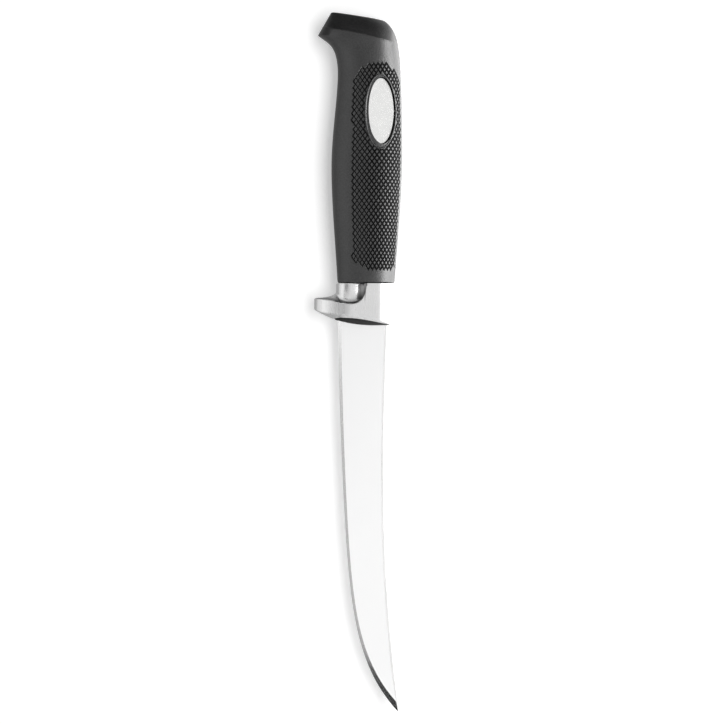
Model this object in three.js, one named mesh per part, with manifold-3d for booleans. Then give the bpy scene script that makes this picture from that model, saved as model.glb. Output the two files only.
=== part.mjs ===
// A carving knife with a moulded rubber grip, lying on its side.
// Millimetres. X runs from the cutting edge towards the spine, Y from the tip
// towards the pommel and Z through the thickness. The pieces are made round the
// knife's axis, with Y = 0 at the joint between bolster and grip, and the group
// at the end moves them so that the knife lies on Z = 0, centred on the origin.

import * as THREE from "three";
import { LoftGeometry } from "three/addons/geometries/LoftGeometry.js";
import { mergeVertices } from "three/addons/utils/BufferGeometryUtils.js";
import Module from "manifold-3d";

const wasm = await Module();
wasm.setup();

// Clearance between two pieces that meet
const FIT = 0.3;

// Blade: its outline
const BLADE_LENGTH = 153; // bolster's nose to tip
const HEEL_EDGE = 11.15; // axis to cutting edge at the heel
const HEEL_SPINE = 8.2; // axis to spine at the heel
const EDGE_DRIFT = 7.5; // how far the edge leans towards the spine by the tip
const EDGE_LEAN = 1.5; // power of that lean
const BELLY_SHARPNESS = 8; // power of the belly's upward sweep
const SPINE_HOLLOW = 1.8; // dip of the spine at mid-blade
const TIP_SWEEP = 4.6; // how far the tip trails beyond the heel's spine
const TIP_BLUNT = 0.6; // height left at the very tip

// Blade: its grind
const BLADE_THICKNESS = 2; // at the heel's spine
const SHOULDER_THICKNESS = 0.9; // at the heel's edge, before the cutting bevel
const TIP_THICKNESS = 1.5;
const BEVEL_WIDTH = 1.35;
const BEVEL_SHARE = 0.85; // most of the blade's height that the bevel may take

// Tang
const TANG_WIDTH = 9;
const TANG_LENGTH = 70; // reach into the grip
const TANG_HOLE = 4;
const TANG_HOLE_PITCH = 20;
const TANG_HOLE_COUNT = 3;
const FIRST_HOLE = 18; // joint to the first hole

// Bolster
const BOLSTER_LENGTH = 16.9; // nose to joint
const BOLSTER_THICKNESS = 14; // over its two milled flats
const BOLSTER_CROWN = 14.9; // thickness the section would have without the flats
const BOLSTER_SPINE = 11.4; // axis to the spine side
const BOLSTER_CREST = 2.5; // where the section is thickest
const HORN_REACH = 20.6; // axis to the guard's tip
const HORN_TOP = 5.4; // joint to the guard's rear side at its tip
const NOSE_RADIUS = 44; // front outline, seen from the side
const RIM_SETBACK = 2.9; // nose to the front rim of the flats, on the axis
const RIM_TILT = THREE.MathUtils.degToRad(9.2);
const NOSE_FLAT = 1.6;

// Finger cove cut into the bolster behind the guard
const NECK_EDGE = 11.3; // axis to the neck's edge side
const NECK_THICKNESS = 12;
const COVE_DEPTH = 7.7; // joint to the deepest point of the cove
const COVE_FOOT = 7.1; // axis to that point
const COVE_LIP = 0.2; // axis to where the cove runs out at the joint
const COVE_RUN = 4; // how far its curve stays level past the deepest point
const HORN_RUN = 5; // and before the guard's tip
const COVE_FILLET = 3.7;

// Seal at the bolster's mouth
const SEAL_THICKNESS = 11;
const SEAL_WALL = 0.8; // rubber left beyond the blade's edge and spine
const BLADE_SEAT = 5; // nose to the bolster's inner web

// Core inside the grip
const CORE_WIDTH = 15;
const CORE_THICKNESS = 8.6;
const CORE_LENGTH = 78;
const CORE_TAPER = 0.8; // share of the section left at the rear end
const RIB_HEIGHT = 0.8;
const RIB_LENGTH = 4;
const SPIGOT_WIDTH = 13;
const SPIGOT_THICKNESS = 6.2;
const SPIGOT_LENGTH = 6.5;

// Grip: its outline at three stations
const GRIP_LENGTH = 107.8;
const FRONT_WIDTH = 22.7;
const FRONT_THICKNESS = 15;
const BELLY_AT = 47; // joint to the widest station
const BELLY_EDGE = 13.75;
const BELLY_SPINE = 14.3;
const BELLY_THICKNESS = 19;
const NECK_SETBACK = 20.8; // pommel's top to the narrow station
const GRIP_NECK_EDGE = 11.4;
const GRIP_NECK_SPINE = 13.45;
const GRIP_NECK_THICKNESS = 17.6;
const SPINE_LAG = 1; // how much further back the spine side is narrowest

// Grip: the beaked pommel
const BEAK_REACH = 19.1; // axis to the beak's tip
const BEAK_DROP = 9.2; // pommel's top to the beak's tip
const BEAK_ROOT = 0.6; // share of the way from neck to tip where its root lies
const BEAK_RISE = 2.2; // neck to root, across
const POMMEL_EDGE = 13.8; // axis to the top corner over the beak
const POMMEL_SPINE = 7.15; // axis to the top corner on the spine side
const POMMEL_SPINE_DROP = 3.3;
const CREASE_EDGE_DROP = 6.3; // pommel's top to the crease, over the beak
const CREASE_SPINE_DROP = 13.35; // and on the spine side
const CREASE_SPINE = 12.75;
const CREASE_LEAD = 1.2; // last section of the side to the crease, at the spine
const CREASE_STEP = 0.1; // and how much wider that section is
const CREASE_THICKNESS = 17.3;
const SHOULDER_INSET = 1.1; // spine side of the crease to the shoulder's corner
const SHOULDER_DROP = 2.9; // top corner to the shoulder's corner
const POMMEL_END_THICKNESS = 7;

// Grip: the checkered panels
const GROOVE_DEPTH = 0.7;
const PANEL_EDGE = 5.2; // axis to the panel's edge side
const PANEL_FRONT = 4.3; // joint to the panel
const PANEL_SETBACK = 20.1; // pommel's top to the panel
const PANEL_CREST = 5.5; // axis to the tops of its arches
const PANEL_FRONT_ARCH = 5.5;
const PANEL_REAR_ARCH = 8;
const ARCH_POWER = 2.3;
const PANEL_MARGIN = 0.45; // left smooth at the spine, seen from above

// Oval badge on one side of the grip
const BADGE_WIDTH = 10.95;
const BADGE_LENGTH = 25.8;
const BADGE_THICKNESS = 0.8;
const BADGE_FILM = 0.3;
const BADGE_X = 6.05;
const BADGE_Y = 68;
const BADGE_TILT = THREE.MathUtils.degToRad(18);
const BADGE_DEPTH = 2.2; // grip's crest to the badge's face at its middle
const COLLAR_SIDE = 1.1; // collar's width beside the badge
const COLLAR_END = 2; // and at its ends
const COLLAR_RISE = 0.45;

// Shape of the rounded sections
const FINGER_FULLNESS = 2.2; // 2 is an ellipse, more is squarer, less is a roof
const PALM_FULLNESS = 1.85;
const CORE_FULLNESS = 3.4;
const GRIP_CREST = 0.58; // share of the width from edge side to thickest point

// Facets
const GRIP_AROUND = 56; // two to a diamond of the checkering
const CHECK_ROWS = 36; // two to a diamond, from the joint to the neck
const BEAK_ROWS = 14;
const POMMEL_ROWS = 5;
const BOLSTER_AROUND = 48;
const CORE_AROUND = 24;
const BLADE_ALONG = 44;
const TIP_CROWDING = 1.5; // power that draws the blade's sections to the tip
const NOSE_STEPS = 20;
const COVE_STEPS = 6;
const CURVE_STEPS = 10;

// Extra length of a cutting shape past what it cuts
const OVERRUN = 5;

// Places that follow from the sizes above
const noseY = -BOLSTER_LENGTH;
const tipY = noseY - BLADE_LENGTH;
const seatY = noseY + BLADE_SEAT;
const shoulderY = seatY - FIT;
const tangRootY = shoulderY - FIT;
const sealRearY = tangRootY - FIT;
const bladeMiddle = (HEEL_SPINE - HEEL_EDGE) / 2;
const bladeHalfHeight = (HEEL_SPINE + HEEL_EDGE) / 2;
const sealHalfLength = bladeHalfHeight + FIT + SEAL_WALL;

const vector = (x, y, z) => new THREE.Vector3(x, y, z);

function solid(geometry) {
  const bare = new THREE.BufferGeometry();
  bare.setAttribute("position", geometry.getAttribute("position"));
  bare.setIndex(geometry.index);
  const merged = mergeVertices(bare, 1e-4);
  const vertProperties = merged.getAttribute("position").array;
  const triVerts = new Uint32Array(merged.index.array);
  return new wasm.Manifold(new wasm.Mesh({ numProp: 3, vertProperties, triVerts }));
}

function piece(name, body, material) {
  const { vertProperties, triVerts } = body.getMesh();
  const geometry = new THREE.BufferGeometry();
  geometry.setAttribute("position", new THREE.BufferAttribute(vertProperties, 3));
  geometry.setIndex(new THREE.BufferAttribute(triVerts, 1));
  geometry.computeVertexNormals();
  const mesh = new THREE.Mesh(geometry, material);
  mesh.name = name;
  return mesh;
}

function finish(color, roughness, metalness) {
  return new THREE.MeshStandardMaterial({ color, roughness, metalness });
}

function loft(sections) {
  return solid(new LoftGeometry(sections, { capStart: true, capEnd: true }));
}

// A flat outline extruded through the thickness, from one height to another
function plate(shape, low, high) {
  const settings = { depth: high - low, bevelEnabled: false, curveSegments: CURVE_STEPS };
  return new THREE.ExtrudeGeometry(shape, settings).translate(0, 0, low);
}

// The same, along the knife's axis
function plug(shape, front, rear) {
  return plate(shape, front, rear).rotateX(-Math.PI / 2);
}

function block(width, length, thickness, x, y, z) {
  return solid(new THREE.BoxGeometry(width, length, thickness).translate(x, y, z));
}

function ellipse(x, y, halfWidth, halfHeight) {
  return new THREE.Shape().absellipse(x, y, halfWidth, halfHeight, 0, 2 * Math.PI);
}

const power = (value, exponent) => Math.sign(value) * Math.abs(value) ** exponent;

// A closed egg-shaped section over the line from an edge-side point to a
// spine-side point. It is thickest at the crest, a share of that line, and its
// two sides can be round in different ways.
function egg(edge, spine, crest, half, count, finger = FINGER_FULLNESS, palm = PALM_FULLNESS) {
  const top = edge.clone().lerp(spine, crest);
  return Array.from({ length: count }, (_, i) => {
    const angle = (2 * Math.PI * i) / count;
    const exponent = 2 / (angle < Math.PI ? palm : finger);
    const across = power(Math.sin(angle), exponent);
    const up = power(Math.cos(angle), exponent);
    const spot = top.clone().lerp(across > 0 ? spine : edge, Math.abs(across));
    return vector(spot.x, spot.y, half * up);
  });
}

// Blade: outline formulas, with s = 0 at the bolster's nose and s = 1 at the tip
const bellyRise = HEEL_SPINE + TIP_SWEEP - TIP_BLUNT + HEEL_EDGE - EDGE_DRIFT;
const edgeX = (s) => -HEEL_EDGE + EDGE_DRIFT * s ** EDGE_LEAN + bellyRise * s ** BELLY_SHARPNESS;
const edgeSlope = (s) =>
  (EDGE_LEAN * EDGE_DRIFT * s ** (EDGE_LEAN - 1)
    + BELLY_SHARPNESS * bellyRise * s ** (BELLY_SHARPNESS - 1)) / BLADE_LENGTH;
const spineX = (s) => HEEL_SPINE - SPINE_HOLLOW * Math.sin(Math.PI * s) + TIP_SWEEP * s ** 3;

// Each side of the blade is one plane that thins towards the edge and the tip
const sideFall = (BLADE_THICKNESS - SHOULDER_THICKNESS) / 2 / (HEEL_SPINE + HEEL_EDGE);
const pointFall = ((BLADE_THICKNESS - TIP_THICKNESS) / 2 + sideFall * TIP_SWEEP) / BLADE_LENGTH;
const bladeHalf = (x, y) =>
  BLADE_THICKNESS / 2 - sideFall * (HEEL_SPINE - x) - pointFall * (noseY - y);

function bladeSection(y, grow = 0) {
  const s = Math.max(0, (noseY - y) / BLADE_LENGTH);
  const edge = edgeX(s) - grow;
  const spine = spineX(s) + grow;
  const bevel = Math.min(BEVEL_WIDTH * Math.hypot(1, edgeSlope(s)), BEVEL_SHARE * (spine - edge));
  const shoulder = edge + bevel;
  const atSpine = bladeHalf(spine, y) + grow;
  const atShoulder = bladeHalf(shoulder, y) + grow;
  return [
    vector(shoulder, y, atShoulder),
    vector(spine, y, atSpine),
    vector(spine, y, -atSpine),
    vector(shoulder, y, -atShoulder),
    vector(edge, y, 0),
  ];
}

function makeBlade() {
  const sections = [];
  for (let i = 0; i <= BLADE_ALONG; i++) {
    const fromTip = (i / BLADE_ALONG) ** TIP_CROWDING;
    sections.push(bladeSection(tipY + BLADE_LENGTH * fromTip));
  }
  sections.push(bladeSection(shoulderY));

  const half = TANG_WIDTH / 2;
  const tang = new THREE.Shape();
  tang.moveTo(-half, tangRootY);
  tang.lineTo(half, tangRootY);
  tang.lineTo(half, TANG_LENGTH - half);
  tang.absarc(0, TANG_LENGTH - half, half, 0, Math.PI);
  for (const y of tangHoles()) {
    tang.holes.push(new THREE.Path().absarc(0, y, TANG_HOLE / 2, 0, 2 * Math.PI, true));
  }
  return loft(sections).add(solid(plate(tang, -BLADE_THICKNESS / 2, BLADE_THICKNESS / 2)));
}

function tangHoles() {
  return Array.from({ length: TANG_HOLE_COUNT }, (_, i) => FIRST_HOLE + i * TANG_HOLE_PITCH);
}

// The guard's full form, with its arched and bevelled nose, before it is hollowed
function guardForm() {
  const edge = (y) => new THREE.Vector2(-HORN_REACH, y);
  const spine = (y) => new THREE.Vector2(BOLSTER_SPINE, y);
  const crest = (HORN_REACH + BOLSTER_CREST) / (HORN_REACH + BOLSTER_SPINE);
  const section = (y) => egg(edge(y), spine(y), crest, BOLSTER_CROWN / 2, BOLSTER_AROUND);
  const width = 2 * (HORN_REACH + BOLSTER_SPINE);
  const length = 2 * (BOLSTER_LENGTH + OVERRUN);
  return loft([section(noseY - OVERRUN), section(0)])
    .intersect(block(width, length, BOLSTER_THICKNESS, 0, 0, 0))
    .intersect(noseForm());
}

// The space behind the nose: a roof-shaped front whose ridge is an arc and
// whose eaves are the slanting rims of the two flats
function noseForm() {
  const low = -HORN_REACH - OVERRUN;
  const high = BOLSTER_SPINE + OVERRUN;
  const reach = BOLSTER_THICKNESS;
  const sections = [];
  for (let i = 0; i <= NOSE_STEPS; i++) {
    const x = low + ((high - low) * i) / NOSE_STEPS;
    const offset = x - BOLSTER_CREST;
    const ridge = noseY + NOSE_RADIUS - Math.sqrt(NOSE_RADIUS ** 2 - offset ** 2);
    const eave = noseY + RIM_SETBACK - Math.tan(RIM_TILT) * x;
    const pitch = (eave - ridge) / ((BOLSTER_THICKNESS - NOSE_FLAT) / 2);
    const far = ridge + pitch * (reach - NOSE_FLAT / 2);
    sections.push([
      vector(x, OVERRUN, -reach),
      vector(x, OVERRUN, reach),
      vector(x, far, reach),
      vector(x, ridge, NOSE_FLAT / 2),
      vector(x, ridge, -NOSE_FLAT / 2),
      vector(x, far, -reach),
    ]);
  }
  return loft(sections);
}

// What the finger cove takes away: a plate with a round inner corner, less the
// neck, which flares out into the guard
function coveForm() {
  const outline = new THREE.Shape();
  const out = -HORN_REACH - OVERRUN;
  outline.moveTo(-COVE_LIP, OVERRUN);
  outline.lineTo(-COVE_LIP, 0);
  outline.bezierCurveTo(
    -COVE_LIP - COVE_FOOT / 4, -COVE_DEPTH / 3, -COVE_FOOT / 4, -COVE_DEPTH, -COVE_FOOT, -COVE_DEPTH);
  outline.bezierCurveTo(
    -COVE_FOOT - COVE_RUN, -COVE_DEPTH, -HORN_REACH + HORN_RUN, -HORN_TOP, out, -HORN_TOP);
  outline.lineTo(out, OVERRUN);

  const crest = (NECK_EDGE + BOLSTER_CREST) / (NECK_EDGE + BOLSTER_SPINE);
  const neckSection = (y, flare) =>
    egg(new THREE.Vector2(-NECK_EDGE - flare, y), new THREE.Vector2(BOLSTER_SPINE + flare, y), crest,
      NECK_THICKNESS / 2 + flare, BOLSTER_AROUND);
  const sections = [neckSection(-COVE_DEPTH - OVERRUN, COVE_FILLET)];
  for (let i = 0; i <= COVE_STEPS; i++) {
    const angle = (Math.PI / 2) * (i / COVE_STEPS);
    const y = -COVE_DEPTH + COVE_FILLET * (1 - Math.cos(angle));
    sections.push(neckSection(y, COVE_FILLET * (1 - Math.sin(angle))));
  }
  sections.push(neckSection(2 * OVERRUN, 0));
  const reach = BOLSTER_THICKNESS;
  return solid(plate(outline, -reach, reach)).subtract(loft(sections));
}

function spigotSection(y, grow = 0) {
  const half = SPIGOT_WIDTH / 2 + grow;
  const edge = new THREE.Vector2(-half, y);
  const spine = new THREE.Vector2(half, y);
  const thick = SPIGOT_THICKNESS / 2 + grow;
  return egg(edge, spine, 0.5, thick, CORE_AROUND, CORE_FULLNESS, CORE_FULLNESS);
}

function makeBolster(form) {
  const mouth = ellipse(bladeMiddle, 0, sealHalfLength + FIT, SEAL_THICKNESS / 2 + FIT);
  const slotLength = 2 * (BOLSTER_LENGTH + OVERRUN);
  return form
    .subtract(coveForm())
    .subtract(solid(plug(mouth, noseY - OVERRUN, seatY)))
    .subtract(block(TANG_WIDTH + 2 * FIT, slotLength, BLADE_THICKNESS + 2 * FIT, 0, 0, 0))
    .subtract(loft([spigotSection(-SPIGOT_LENGTH - FIT, FIT), spigotSection(OVERRUN, FIT)]));
}

function makeSeal(form) {
  const lip = ellipse(bladeMiddle, 0, sealHalfLength, SEAL_THICKNESS / 2);
  const slot = loft([bladeSection(noseY - OVERRUN, FIT), bladeSection(OVERRUN, FIT)]);
  return form.intersect(solid(plug(lip, noseY - OVERRUN, sealRearY))).subtract(slot);
}

// Core: a tapering bar with locking ribs, moulded round the tang
function coreForm(front, grow = 0) {
  const section = (y, rise) => {
    const share = THREE.MathUtils.lerp(1, CORE_TAPER, THREE.MathUtils.clamp(y / CORE_LENGTH, 0, 1));
    const half = (CORE_WIDTH / 2) * share + rise + grow;
    const edge = new THREE.Vector2(-half, y);
    const spine = new THREE.Vector2(half, y);
    const thick = (CORE_THICKNESS / 2) * share + rise + grow;
    return egg(edge, spine, 0.5, thick, CORE_AROUND, CORE_FULLNESS, CORE_FULLNESS);
  };
  const sections = [section(front, 0)];
  for (const hole of tangHoles()) {
    const middle = hole + TANG_HOLE_PITCH / 2;
    const half = RIB_LENGTH / 2 + grow;
    sections.push(section(middle - half - RIB_HEIGHT, 0), section(middle - half, RIB_HEIGHT));
    sections.push(section(middle + half, RIB_HEIGHT), section(middle + half + RIB_HEIGHT, 0));
  }
  sections.push(section(CORE_LENGTH + grow, 0));
  return loft(sections);
}

function makeCore() {
  const slotFront = -SPIGOT_LENGTH - OVERRUN;
  const slotRear = TANG_LENGTH + FIT;
  const slot = block(TANG_WIDTH + 2 * FIT, slotRear - slotFront, BLADE_THICKNESS + 2 * FIT,
    0, (slotRear + slotFront) / 2, 0);
  const spigot = loft([spigotSection(-SPIGOT_LENGTH), spigotSection(2 * FIT)]);
  let core = spigot.add(coreForm(FIT)).subtract(slot);
  for (const y of tangHoles()) {
    const pin = new THREE.CylinderGeometry(
      TANG_HOLE / 2 - FIT, TANG_HOLE / 2 - FIT, CORE_THICKNESS / 2, 2 * CURVE_STEPS);
    core = core.add(solid(pin.rotateX(Math.PI / 2).translate(0, y, 0)));
  }
  return core;
}

// Grip: two rails carry its edge side and its spine side from the joint to the
// beak's tip. The edge rail's Z is half the thickness there.
const neckY = GRIP_LENGTH - NECK_SETBACK;
const beakY = GRIP_LENGTH - BEAK_DROP;
const creaseSpineY = GRIP_LENGTH - CREASE_SPINE_DROP;
const beakRootX = GRIP_NECK_EDGE + BEAK_RISE;
const beakRootY = THREE.MathUtils.lerp(neckY, beakY, BEAK_ROOT);
const lastSpineX = CREASE_SPINE + CREASE_STEP;
const lastSpineY = creaseSpineY - CREASE_LEAD;
const edgeRail = new THREE.CatmullRomCurve3([
  vector(-FRONT_WIDTH / 2, FIT, FRONT_THICKNESS / 2),
  vector(-BELLY_EDGE, BELLY_AT, BELLY_THICKNESS / 2),
  vector(-GRIP_NECK_EDGE, neckY, GRIP_NECK_THICKNESS / 2),
  vector(-beakRootX, beakRootY, (GRIP_NECK_THICKNESS + CREASE_THICKNESS) / 4),
  vector(-BEAK_REACH, beakY, CREASE_THICKNESS / 2),
]);
const spineRail = new THREE.CatmullRomCurve3([
  vector(FRONT_WIDTH / 2, FIT, 0),
  vector(BELLY_SPINE, BELLY_AT, 0),
  vector(GRIP_NECK_SPINE, neckY + SPINE_LAG, 0),
  vector(
    THREE.MathUtils.lerp(GRIP_NECK_SPINE, lastSpineX, BEAK_ROOT),
    THREE.MathUtils.lerp(neckY + SPINE_LAG, lastSpineY, BEAK_ROOT),
    0),
  vector(lastSpineX, lastSpineY, 0),
]);
const butt = {
  edge: new THREE.LineCurve(
    new THREE.Vector2(-BEAK_REACH + (BEAK_REACH - POMMEL_EDGE) * (1 - CREASE_EDGE_DROP / BEAK_DROP),
      GRIP_LENGTH - CREASE_EDGE_DROP),
    new THREE.Vector2(-POMMEL_EDGE, GRIP_LENGTH)),
  spine: new THREE.QuadraticBezierCurve(
    new THREE.Vector2(CREASE_SPINE, creaseSpineY),
    new THREE.Vector2(CREASE_SPINE - SHOULDER_INSET, GRIP_LENGTH - POMMEL_SPINE_DROP - SHOULDER_DROP),
    new THREE.Vector2(POMMEL_SPINE, GRIP_LENGTH - POMMEL_SPINE_DROP)),
};

// Shares of the rails that have a section, closer together from the neck on,
// which is the middle one of the rails' five points
const railShares = [
  ...Array.from({ length: CHECK_ROWS }, (_, i) => i / CHECK_ROWS / 2),
  ...Array.from({ length: BEAK_ROWS + 1 }, (_, i) => (1 + i / BEAK_ROWS) / 2),
];

function gripSections(grow) {
  const section = (edge, spine, half) => {
    const left = new THREE.Vector2(edge.x - grow, edge.y);
    const right = new THREE.Vector2(spine.x + grow, spine.y);
    return egg(left, right, GRIP_CREST, half + grow, GRIP_AROUND);
  };
  const side = railShares.map((share) => {
    const edge = edgeRail.getPoint(share);
    return section(edge, spineRail.getPoint(share), edge.z);
  });
  const pommel = Array.from({ length: POMMEL_ROWS + 1 }, (_, i) => {
    const share = i / POMMEL_ROWS;
    const half = THREE.MathUtils.lerp(CREASE_THICKNESS, POMMEL_END_THICKNESS, share) / 2;
    return section(butt.edge.getPoint(share), butt.spine.getPoint(share), half);
  });
  return [...side, ...pommel];
}

// True on a checkered panel, seen from above: it is straight on the edge side,
// arched at both ends and reaches almost to the spine
function onPanel(point, spine) {
  const back = BELLY_SPINE - PANEL_MARGIN;
  const reach = point.x < PANEL_CREST ? PANEL_CREST + PANEL_EDGE : back - PANEL_CREST;
  const arch = (Math.abs(point.x - PANEL_CREST) / reach) ** ARCH_POWER;
  const front = PANEL_FRONT + PANEL_FRONT_ARCH * arch;
  const rear = GRIP_LENGTH - PANEL_SETBACK - PANEL_REAR_ARCH * arch;
  const across = point.x > -PANEL_EDGE && point.x < spine - PANEL_MARGIN;
  return across && point.y > front && point.y < rear;
}

// The grip's outside. On the panels every second point of the sections is
// pressed in, and each square of the loft is split between its pressed points,
// so that the grooves of the checkering run straight.
function checkeredForm() {
  const deep = gripSections(-GROOVE_DEPTH);
  const sections = gripSections(0).map((section, row) => {
    const spine = Math.max(...section.map((point) => point.x));
    return section.map((point, column) => {
      const pressed = (row + column) % 2 === 1 && onPanel(point, spine);
      return pressed ? deep[row][column] : point;
    });
  });
  const skin = new LoftGeometry(sections, { capStart: true, capEnd: true });
  for (let row = 0; row < sections.length - 1; row++) {
    for (let column = 1 - (row % 2); column < GRIP_AROUND; column += 2) {
      const first = 6 * (row * GRIP_AROUND + column);
      const [a, b, d, , c] = skin.index.array.slice(first, first + 6);
      skin.index.array.set([a, b, c, a, c, d], first);
    }
  }
  return solid(skin);
}

// Half the grip's thickness at a place along it
function gripHalfAt(y) {
  const points = railShares.map((share) => edgeRail.getPoint(share));
  const next = points.findIndex((p) => p.y > y);
  const low = points[next - 1];
  return low.z + ((points[next].z - low.z) * (y - low.y)) / (points[next].y - low.y);
}

// The badge's own frame: its face is at local Z = 0
const badge = new THREE.Group();
badge.position.set(BADGE_X, BADGE_Y, gripHalfAt(BADGE_Y) - BADGE_DEPTH);
badge.rotation.y = BADGE_TILT;
badge.updateMatrix();
const filmTop = -BADGE_THICKNESS - FIT;
const filmLow = filmTop - BADGE_FILM;

function badgeOval(growSide, growEnd) {
  return ellipse(0, 0, BADGE_WIDTH / 2 + growSide, BADGE_LENGTH / 2 + growEnd);
}

function makeGrip() {
  const top = BELLY_THICKNESS;
  const collarPlate = plate(badgeOval(COLLAR_SIDE, COLLAR_END), filmLow, top).applyMatrix4(badge.matrix);
  const collar = loft(gripSections(COLLAR_RISE)).intersect(solid(collarPlate));
  const pocket = plate(badgeOval(FIT, FIT), filmLow - FIT, top).applyMatrix4(badge.matrix);
  return checkeredForm()
    .add(collar)
    .subtract(solid(pocket))
    .subtract(coreForm(-OVERRUN, FIT));
}

// Materials
const steel = finish(0xd4d6d8, 0.3, 1);
const polished = finish(0xdcdddf, 0.2, 1);
const rubber = finish(0x2b2c2e, 0.6, 0);
const softBlack = finish(0x1c1c1d, 0.7, 0);
const plastic = finish(0x35363a, 0.5, 0);
const satin = finish(0xe2e1de, 0.35, 1);
const glue = finish(0xd9d2b8, 0.6, 0);

// Assembly
const guard = guardForm();
badge.add(
  piece("badge_plate", solid(plate(badgeOval(0, 0), -BADGE_THICKNESS, 0)), satin),
  piece("badge_adhesive", solid(plate(badgeOval(-FIT, -FIT), filmLow, filmTop)), glue),
);

const knife = new THREE.Group();
knife.add(
  piece("blade", makeBlade(), steel),
  piece("bolster", makeBolster(guard), polished),
  piece("bolster_seal", makeSeal(guard), softBlack),
  piece("handle_core", makeCore(), plastic),
  piece("grip", makeGrip(), rubber),
  badge,
);
const xMiddle = (Math.max(BELLY_SPINE, HEEL_SPINE + TIP_SWEEP) - HORN_REACH) / 2;
const yMiddle = (GRIP_LENGTH + tipY) / 2;
knife.position.set(-xMiddle, -yMiddle, BELLY_THICKNESS / 2);

const part = new THREE.Group();
part.add(knife);

export default part;
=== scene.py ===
# %% [markdown]
# # A carving knife with a rubber grip
#
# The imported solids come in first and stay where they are: they are the frame that every piece here is set
# on. They have the knife's sizes, but their faces are plain. This lesson replaces the pieces that show with
# finer meshes, gives each its finish, and lights the knife as it lies on a white table.

import math

import bmesh
import bpy
import numpy as np
from mathutils import Matrix, Vector


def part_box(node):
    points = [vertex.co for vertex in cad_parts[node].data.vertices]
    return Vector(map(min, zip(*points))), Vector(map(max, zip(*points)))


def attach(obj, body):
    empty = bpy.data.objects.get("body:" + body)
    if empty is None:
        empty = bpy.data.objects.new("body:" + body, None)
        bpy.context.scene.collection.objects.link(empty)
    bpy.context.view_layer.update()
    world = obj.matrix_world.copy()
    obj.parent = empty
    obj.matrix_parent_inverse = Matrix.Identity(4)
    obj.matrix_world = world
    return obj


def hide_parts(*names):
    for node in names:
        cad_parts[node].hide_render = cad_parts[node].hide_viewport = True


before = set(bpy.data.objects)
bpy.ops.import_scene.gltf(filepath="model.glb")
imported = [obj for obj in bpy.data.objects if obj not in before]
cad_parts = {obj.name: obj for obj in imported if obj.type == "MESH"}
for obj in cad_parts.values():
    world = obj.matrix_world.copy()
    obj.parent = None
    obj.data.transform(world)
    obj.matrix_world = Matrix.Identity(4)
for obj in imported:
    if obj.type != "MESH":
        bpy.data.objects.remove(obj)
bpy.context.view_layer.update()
print("solids:", sorted(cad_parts))

# %% [markdown]
# The knife is easiest to draw in millimetres on its own axis: X from the cutting edge to the spine, Y from
# the tip to the pommel with zero at the joint of bolster and grip, and Z through the thickness with zero in
# the middle. The bolster's box says where that axis lies in the frame, and one matrix takes a finished mesh
# there.

# %% From knife millimetres to the frame
MM = 0.001
BOLSTER_SPINE = 11.4

bolster_low, bolster_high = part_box("bolster")
knife_origin = Vector((
    bolster_high.x - BOLSTER_SPINE * MM,
    bolster_high.y,
    (bolster_low.z + bolster_high.z) / 2,
))
TO_FRAME = Matrix.Translation(knife_origin) @ Matrix.Scale(MM, 4)
print("knife axis in the frame, mm:", [round(c / MM, 2) for c in knife_origin])

# %% [markdown]
# Most pieces of a knife are skins that run round an axis: a ring of points at each station, and the rings
# sewn together. A flat grid can be rolled up for that. Each vertex of the grid knows its column and row,
# moves to its place on the ring, and the two edges that meet are merged. Where the rings close on
# themselves lengthwise too, the roll becomes a tube with a hole through it.

# %% Rolling a grid into a skin
MERGE_DISTANCE = 1e-4


def rolled_skin(rings, tube=False):
    """Rolls a grid round rings of points in mm; vertex layers keep each row and column."""
    rings = np.array(rings)
    rows, columns = rings.shape[:2]
    row_steps = rows if tube else rows - 1
    bm = bmesh.new()
    bmesh.ops.create_grid(bm, x_segments=columns, y_segments=row_steps, size=0.5)
    row_layer = bm.verts.layers.int.new("row")
    column_layer = bm.verts.layers.int.new("column")
    for vert in bm.verts:
        column = round((vert.co.x + 0.5) * columns) % columns
        row = round((vert.co.y + 0.5) * row_steps) % rows
        vert[row_layer] = row
        vert[column_layer] = column
        vert.co = rings[row, column]
    bmesh.ops.remove_doubles(bm, verts=bm.verts, dist=MERGE_DISTANCE)
    if tube:
        bmesh.ops.recalc_face_normals(bm, faces=bm.faces)
    return bm


def close_ends(bm):
    """Fills the open ends of a skin with fans and turns every face outwards."""
    filled = bmesh.ops.holes_fill(bm, edges=[e for e in bm.edges if e.is_boundary], sides=0)
    bmesh.ops.poke(bm, faces=filled["faces"])
    bmesh.ops.recalc_face_normals(bm, faces=bm.faces)


def shade(bm, sharp_degrees=38):
    """Smooth shading that breaks where two faces meet at more than the given angle."""
    for face in bm.faces:
        face.smooth = True
    for edge in bm.edges:
        if len(edge.link_faces) == 2:
            edge.smooth = edge.calc_face_angle(0) < math.radians(sharp_degrees)


def new_object(bm, name):
    """Turns a bmesh into an object of the scene."""
    mesh = bpy.data.meshes.new(name)
    bm.to_mesh(mesh)
    bm.free()
    holder = bpy.data.objects.new(name, mesh)
    bpy.context.scene.collection.objects.link(holder)
    return holder


def add_piece(bm, name, slot, *nodes):
    """Turns a bmesh in knife mm into a piece of the knife that stands for the given solids."""
    bmesh.ops.transform(bm, matrix=TO_FRAME, verts=bm.verts)
    piece = new_object(bm, name)
    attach(piece, "root")
    if nodes:
        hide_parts(*nodes)
    print(name, "has", len(piece.data.polygons), "faces")
    return piece


# %% [markdown]
# The sections of grip and bolster are egg shaped: thickest at a crest that lies nearer to the spine. A
# power a little over 2 makes the finger side slightly fuller than an ellipse, and a lower power makes the
# palm side flatter, like a roof. The points are spread evenly along the outline, because the checkering
# later counts on columns of the same width.

# %% The egg section
FINGER_FULLNESS = 2.2
PALM_FULLNESS = 1.85
OUTLINE_POINTS = 1440


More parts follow.
